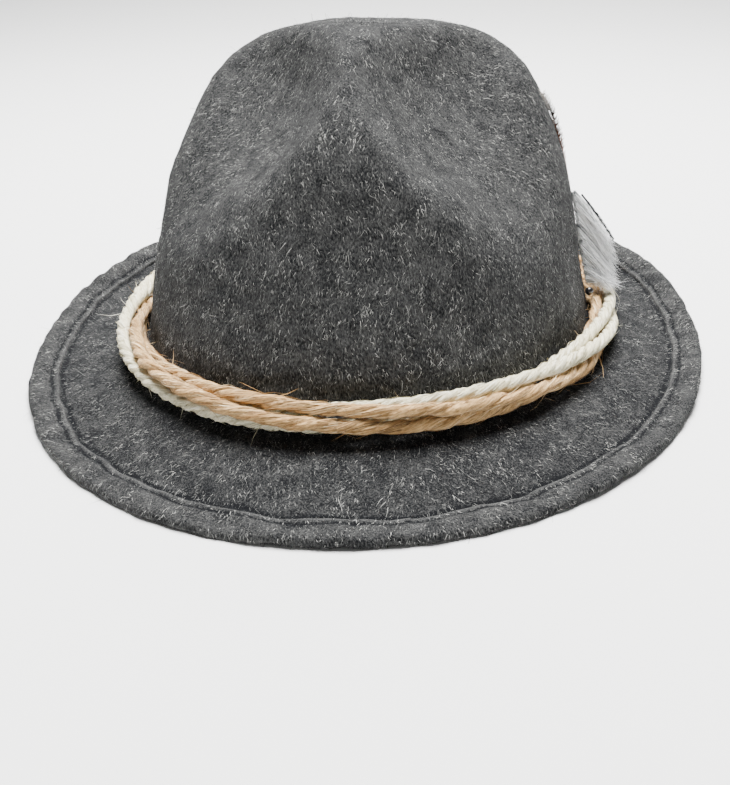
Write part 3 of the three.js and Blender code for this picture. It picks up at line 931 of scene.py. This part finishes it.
def cord_fibres(laid, count, reach, lift, standing):
    """Fibres on a cord's plies: they follow the yarn, and where standing they leave it."""
    (paths, sides, overs, radii), length, fibre_turn = laid
    t = np.linspace(0, 1, fibre_knots)[None, :]
    ply = rng.integers(0, ply_count, (count, 1))
    long = (reach * rng.lognormal(0, fibre_length_spread, count))[:, None]
    start = rng.uniform(0, ply_steps, (count, 1))
    place = start + rng.choice([-1, 1], (count, 1)) * long * t * ply_steps / length
    before = np.floor(place).astype(int)
    part = (place - before)[..., None]

    def between(values):
        return values[ply, before % ply_steps] * (1 - part) + values[ply, (before + 1) % ply_steps] * part

    turn = rng.uniform(0, 2 * math.pi, (count, 1))
    turn = turn + fibre_turn * (place - place[:, :1]) * length / ply_steps
    turn = turn + rng.normal(0, fibre_wander, (count, 1)) * t
    side = between(sides)
    over = between(overs)
    outward = side * np.cos(turn)[..., None] + over * np.sin(turn)[..., None]
    leave = t ** 1.4 if standing else np.sin(math.pi * t)
    rise = rng.exponential(lift, (count, 1)) * leave + fibre_stand_off
    radius = radii.mean()
    points = between(paths) + outward * (radius + rise)[..., None]
    if standing:
        points += rng.normal(0, lift / 2, (count, 1, 3)) * (t ** 2)[..., None]
    across = over * np.cos(turn)[..., None] - side * np.sin(turn)[..., None]
    return points, across


def cord_fuzz(name, cords, material, loose):
    """All the drawn fibres of one pair of cords, lying and loose, as one mesh."""
    sets = []
    for laid in cords:
        sets.append(cord_fibres(laid, lying_fibres, lying_length, lying_rise, False))
        sets.append(cord_fibres(laid, int(loose_fibres * loose), loose_length, loose_rise, True))
    paths = np.concatenate([points for points, _ in sets])
    sides = np.concatenate([across for _, across in sets])
    count = len(paths)
    points, quads, tris = ribbons(paths, fibre_width * rng.uniform(*strand_thickness_range, count), sides)
    tone = np.repeat(rng.beta(1.6, 1.6, count), len(points) // count)
    make_piece(name, points, quads, tris, material, uv=np.stack([tone, tone], -1))


def off_wall(angle, height, stand_off):
    """Points that stand off the crown's wall, with its outward direction there."""
    angle = np.asarray(angle, float)
    height = np.asarray(height, float)
    here = settle(crown_point(angle, 0, height))
    above = settle(crown_point(angle, 0, height + wall_step))
    below = settle(crown_point(angle, 0, height - wall_step))
    ahead = settle(crown_point(angle + wall_turn, 0, height))
    behind = settle(crown_point(angle - wall_turn, 0, height))
    outward = unit(np.cross(ahead - behind, above - below))
    return here + outward * np.asarray(stand_off)[..., None], outward


def trim_foot():
    """Height over the crown's foot at which the trim clears the bundle of cords."""
    at, _, spread = bundle_centre(np.array(trim_angle))
    base = settle(crown_point(trim_angle, 0, 0))
    return float(at[2] - base[2] + spread + cord_diameter / 2 + spine_diameter / 2)


def spine_point(share):
    """A place on the plume's spine, with the wall's outward direction."""
    share = np.asarray(share, float)
    height = trim_foot() + spine_length * share * math.cos(spine_lean)
    angle = trim_angle + spine_length * share * math.sin(spine_lean) / half_width
    return off_wall(angle, height, trim_gap + spine_diameter / 2)


def lock_path(lock, shares):
    """The path of one lock, which leaves the spine and droops, and the direction over it."""
    at, outward = spine_point(lock["spring"])
    start = at - outward * spine_diameter / 4
    back = math.radians(lock["back"])
    level = unit(np.array([outward[0] * math.cos(back), math.sin(back), 0]))
    reach = (lock_length * lock["length"] * shares)[:, None]
    fall = (math.radians(lock["droop"]) * (0.92 + 0.08 * shares))[:, None]
    path = start + level * reach * np.cos(fall) - up_axis * reach * np.sin(fall)
    along = unit(np.gradient(path, axis=0))
    facing = unit(np.cross(np.cross(along, up_axis), along))
    return path, facing


def lock_swell(share):
    """Fullness of a lock from root to tip."""
    return np.sin(math.pi * (0.12 + 0.88 * share ** 0.7)) ** 0.8


def vane_shape(share):
    """Breadth of a feather from foot to tip."""
    return np.sin(math.pi * share ** 0.8) ** 0.7


def plume():
    """White down: barbs gathered in pointed tufts that fan down and out from one spine."""
    shares = np.linspace(0.01, 1, barb_knots)
    all_paths, all_sides, all_widths, all_tones = [], [], [], []
    places = np.linspace(0, len(plume_locks) - 1, plume_tufts)
    for place in places:
        lock = {key: np.interp(place, range(len(plume_locks)), [row[key] for row in plume_locks])
                for key in plume_locks[0]}
        lock["length"] = max(lock["length"], shortest_tuft) * rng.uniform(*tuft_length_range)
        lock["droop"] += rng.normal(0, tuft_droop_spread)
        lock["back"] += rng.normal(0, tuft_sweep_spread)
        barbs = int(plume_barbs * (0.4 + 0.6 * lock["length"]))
        path, facing = lock_path(lock, shares)
        along = unit(np.gradient(path, axis=0))
        side = unit(np.cross(along, facing))
        turn = rng.uniform(0, 2 * math.pi, barbs)
        depth = np.sqrt(rng.uniform(0, 1, barbs))
        swell = lock_thickness / 2 * lock_swell(shares * 0.94 + 0.03) * tuft_thickness
        across = (tuft_flatness * depth * np.cos(turn))[:, None] * swell
        over = (depth * np.sin(turn))[:, None] * swell
        reach = rng.uniform(*barb_reach_range, barbs)
        base = np.stack([np.stack([np.interp(shares * r, shares, path[:, k]) for k in range(3)], -1)
                         for r in reach])
        strays = rng.normal(0, barb_stray, (barbs, 2))
        bend = (shares ** 2)[None, :]
        points = base + side[None] * (across + strays[:, :1] * bend * 3)[..., None]
        points += facing[None] * (over + strays[:, 1:] * bend * 2)[..., None]
        twist = rng.uniform(0, math.pi, barbs)[:, None, None]
        all_paths.append(points)
        all_sides.append(side[None] * np.cos(twist) + facing[None] * np.sin(twist))
        all_widths.append(barb_width * rng.uniform(*barb_thickness_range, barbs))
        # Most barbs are light and each tuft has a tone of its own; the barbs deeper inside a tuft are drawn
        # darker as painted shade.
        own_tone = rng.beta(1.6, 0.9, barbs)
        tuft_tone = rng.normal(0, tuft_tone_and_inner_shade)
        all_tones.append(own_tone + tuft_tone + (depth - 0.7) * tuft_tone_and_inner_shade)
    paths = np.concatenate(all_paths)
    widths = np.concatenate(all_widths)
    parts = [ribbons(paths, widths, np.concatenate(all_sides))]
    barb_tones = np.clip(np.concatenate(all_tones), *tone_range)
    tones = [np.repeat(barb_tones, len(parts[0][0]) // len(paths))]

    pick = rng.integers(0, len(paths), plume_wisps)
    knot = rng.integers(barb_knots // 4, barb_knots - 1, plume_wisps)
    root = paths[pick, knot]
    lie = unit(paths[pick, knot + 1] - root)
    away = unit(lie + rng.normal(0, wisp_disorder, lie.shape))
    t = np.linspace(0, 1, wisp_knots)[None, :, None]
    lengths = wisp_length * rng.lognormal(0, fibre_length_spread, plume_wisps)
    wisp = root[:, None] + away[:, None] * t * lengths[:, None, None]
    wisp = wisp - up_axis * t ** 2 * wisp_length / 4
    across = unit(np.cross(away, rng.normal(0, 1, away.shape)))
    wisp_sides = np.broadcast_to(across[:, None], wisp.shape)
    parts.append(ribbons(wisp, np.full(plume_wisps, barb_width / 2), wisp_sides))
    tones.append(np.repeat(rng.beta(3, 1.2, plume_wisps), len(parts[1][0]) // plume_wisps))
    points, quads, tris = join_strands(parts)
    tone = np.concatenate(tones)
    down = strand_tones("goose_down", "#3f4448", "#dcdddd", "#ffffff", 0.6)
    make_piece("plume", points, quads, tris, down, uv=np.stack([tone, tone], -1),
               node="plume_white")


def vane(name, path, facing, half_wide, barbs, fluff, material, node):
    """A feather: a fine quill with barbs on both sides that slant to the tip.

    Fluff is how far the barbs' ends curl inwards and outwards, and the share where that starts.
    """
    along = unit(np.gradient(path, axis=0))
    side = unit(np.cross(along, facing))
    run = np.linspace(0, 1, len(path))
    root = np.repeat(np.linspace(*hackle_span, barbs), 2) + rng.normal(0, 0.004, barbs * 2)
    hand = np.tile([-1.0, 1.0], barbs)
    wide = half_wide(np.clip(root, 0, 1)) * rng.uniform(*hackle_length_range, barbs * 2)

    def at(values, where):
        return np.stack([np.interp(where, run, values[:, k]) for k in range(3)], -1)

    t = np.linspace(0, 1, hackle_knots)
    length = np.linalg.norm(np.diff(path, axis=0), axis=1).sum()
    where = np.clip(root[:, None] + t[None, :] * (wide[:, None] * hackle_slant / length), 0, 1)
    paths = at(path, where.ravel()).reshape(len(root), hackle_knots, 3)
    sides = at(side, where.ravel()).reshape(len(root), hackle_knots, 3)
    overs = at(facing, where.ravel()).reshape(len(root), hackle_knots, 3)
    paths = paths + sides * (hand[:, None] * t[None, :] * wide[:, None])[..., None]
    inwards, outwards, start = fluff
    curl = rng.uniform(-inwards, outwards, len(root)) * smooth_step((root - start) / 0.2)
    lift = 0.3 * feather_thickness * np.sin(t * math.pi)[None, :] + curl[:, None] * t ** 1.5
    paths = paths + overs * lift[..., None]
    widths = hackle_width * rng.uniform(*strand_thickness_range, len(root))
    alongs = at(along, where.ravel()).reshape(len(root), hackle_knots, 3)
    points, quads, tris = ribbons(paths, widths, alongs)
    thick = feather_thickness * quill_share * (1 - quill_taper * run)
    quill = tube(path, side, facing, thick, quill_sides)
    faces = ring_faces(len(path), quill_sides) + len(points)
    each = len(points) // len(root)
    barb_uv = np.stack([np.repeat(root, each), np.repeat(rng.uniform(0, 1, len(root)), each)], -1)
    quill_uv = np.stack([np.repeat(run, quill_sides), np.full(len(run) * quill_sides, 0.5)], -1)
    uv = np.concatenate([barb_uv, quill_uv])
    points = np.concatenate([points, quill.reshape(-1, 3)])
    make_piece(name, points, np.concatenate([quads, faces]), tris, material, uv=uv, node=node)


def feather_brown():
    """Brown and black feather that leans back along the crown."""
    share = np.linspace(0, feather_shown, feather_steps)
    feather_length = crown_height - trim_foot() - feather_tip_drop
    height = trim_foot() + feather_length * share
    set_back = feather_set_back + (feather_tip_set_back - feather_set_back) * share ** 2
    angle = trim_angle + set_back / half_width
    path, facing = off_wall(angle, height, feather_seat)
    bands = [(0.08, "#6b5a4c"), (0.25, "#5b3a26"), (0.56, "#8a5638"), (0.64, "#c79a92"), (0.7, "#6b3a22"),
             (0.8, "#4a2a1a"), (0.88, "#15110e"), (0.97, "#c9c3bb")]
    vane("feather_side", path, facing,
         lambda s: feather_width / 2 * vane_shape(s), brown_barbs, brown_fluff,
         hackle("brown_hackle", bands), "feather_brown")


def feather_dark():
    """Narrow dark feather over the last lock of the white down."""
    shares = np.linspace(dark_feather_start, 1, dark_feather_steps)
    path, facing = lock_path(plume_locks[-1], shares)
    lift = lock_thickness / 6 + trim_gap + feather_thickness / 2
    bands = [(0, "#4b4c50"), (0.5, "#26262a"), (0.8, "#0f0f12")]
    vane("feather_top", path + facing * lift, facing,
         lambda s: dark_feather_width / 2 * vane_shape(s), dark_barbs, dark_fluff,
         hackle("dark_hackle", bands), "feather_dark")


def pin():
    """A glossy black bead on the head of a pin."""
    radius = pin_diameter / 2
    angle = trim_angle - (spine_diameter / 2 + radius + pin_lead) / half_width
    at, _ = off_wall(angle, trim_foot(), trim_gap + radius)
    rise = math.pi * (np.arange(1, bead_rings) / bead_rings)[:, None]
    turn = (np.arange(bead_steps) / bead_steps * 2 * math.pi)[None, :]
    ball = np.stack([np.sin(rise) * np.cos(turn), np.sin(rise) * np.sin(turn),
                     np.cos(rise) * np.ones_like(turn)], -1) * radius
    points = np.concatenate([ball.reshape(-1, 3), [[0, 0, radius], [0, 0, -radius]]]) + at
    caps = end_caps(len(points) - 2, bead_rings - 1, bead_steps)
    make_piece("pin_head", points, ring_faces(bead_rings - 1, bead_steps), caps, glass_bead(),
               node="plume_pin")


def hat_shift():
    """The origin lies under the middle of the felt."""
    angles = np.arange(outline_steps) / outline_steps * 2 * math.pi
    section = brim_section(angles)
    edge = brim_point(section, 4) + section["outward"] * edge_radius
    middle = (edge.max(0) + edge.min(0)) / 2
    return np.array([-middle[0], -middle[1], 0])


add_camera()
add_studio()
shift = hat_shift()
felt = felt_body()
loose_wool = wool_nap()
last_ring = len(felt[0]) - 1
nap("nap_crown_front", felt, 1, crown_rings + 3, nap_strands, loose_wool, (-0.28, 0.28))
nap("nap_crown_back", felt, 1, crown_rings + 3, nap_hidden_strands, loose_wool, (0.28, 0.72))
nap("nap_brim", felt, crown_rings + 3, last_ring, nap_strands, loose_wool)
nap("stray_wool", felt, 1, last_ring, stray_hairs, loose_wool, reach=stray_length, lift=stray_rise)
cream = twisted_yarn("natural_jute", "#bcb184", "#fbf5da")
tan = twisted_yarn("brown_jute", "#84602f", "#e0b77e")
tans = [cord(name, place, tan, tan_pitch, tan_looseness)
        for name, place in (("cord_tan_outer", 45), ("cord_tan_inner", -45))]
creams = [cord(name, place, cream, cream_pitch, cream_looseness)
          for name, place in (("cord_cream_outer", 135), ("cord_cream_inner", -135))]
tan_fibre = strand_tones("brown_jute_fibre", "#45301a", "#bf9359", "#fbe4b8")
cord_fuzz("cord_tan_fibres", tans, tan_fibre, tan_loose_share)
cream_fibre = strand_tones("natural_jute_fibre", "#7d7350", "#eee5c3", "#fffef4")
cord_fuzz("cord_cream_fibres", creams, cream_fibre, cream_loose_share)
plume()
feather_brown()
feather_dark()
pin()
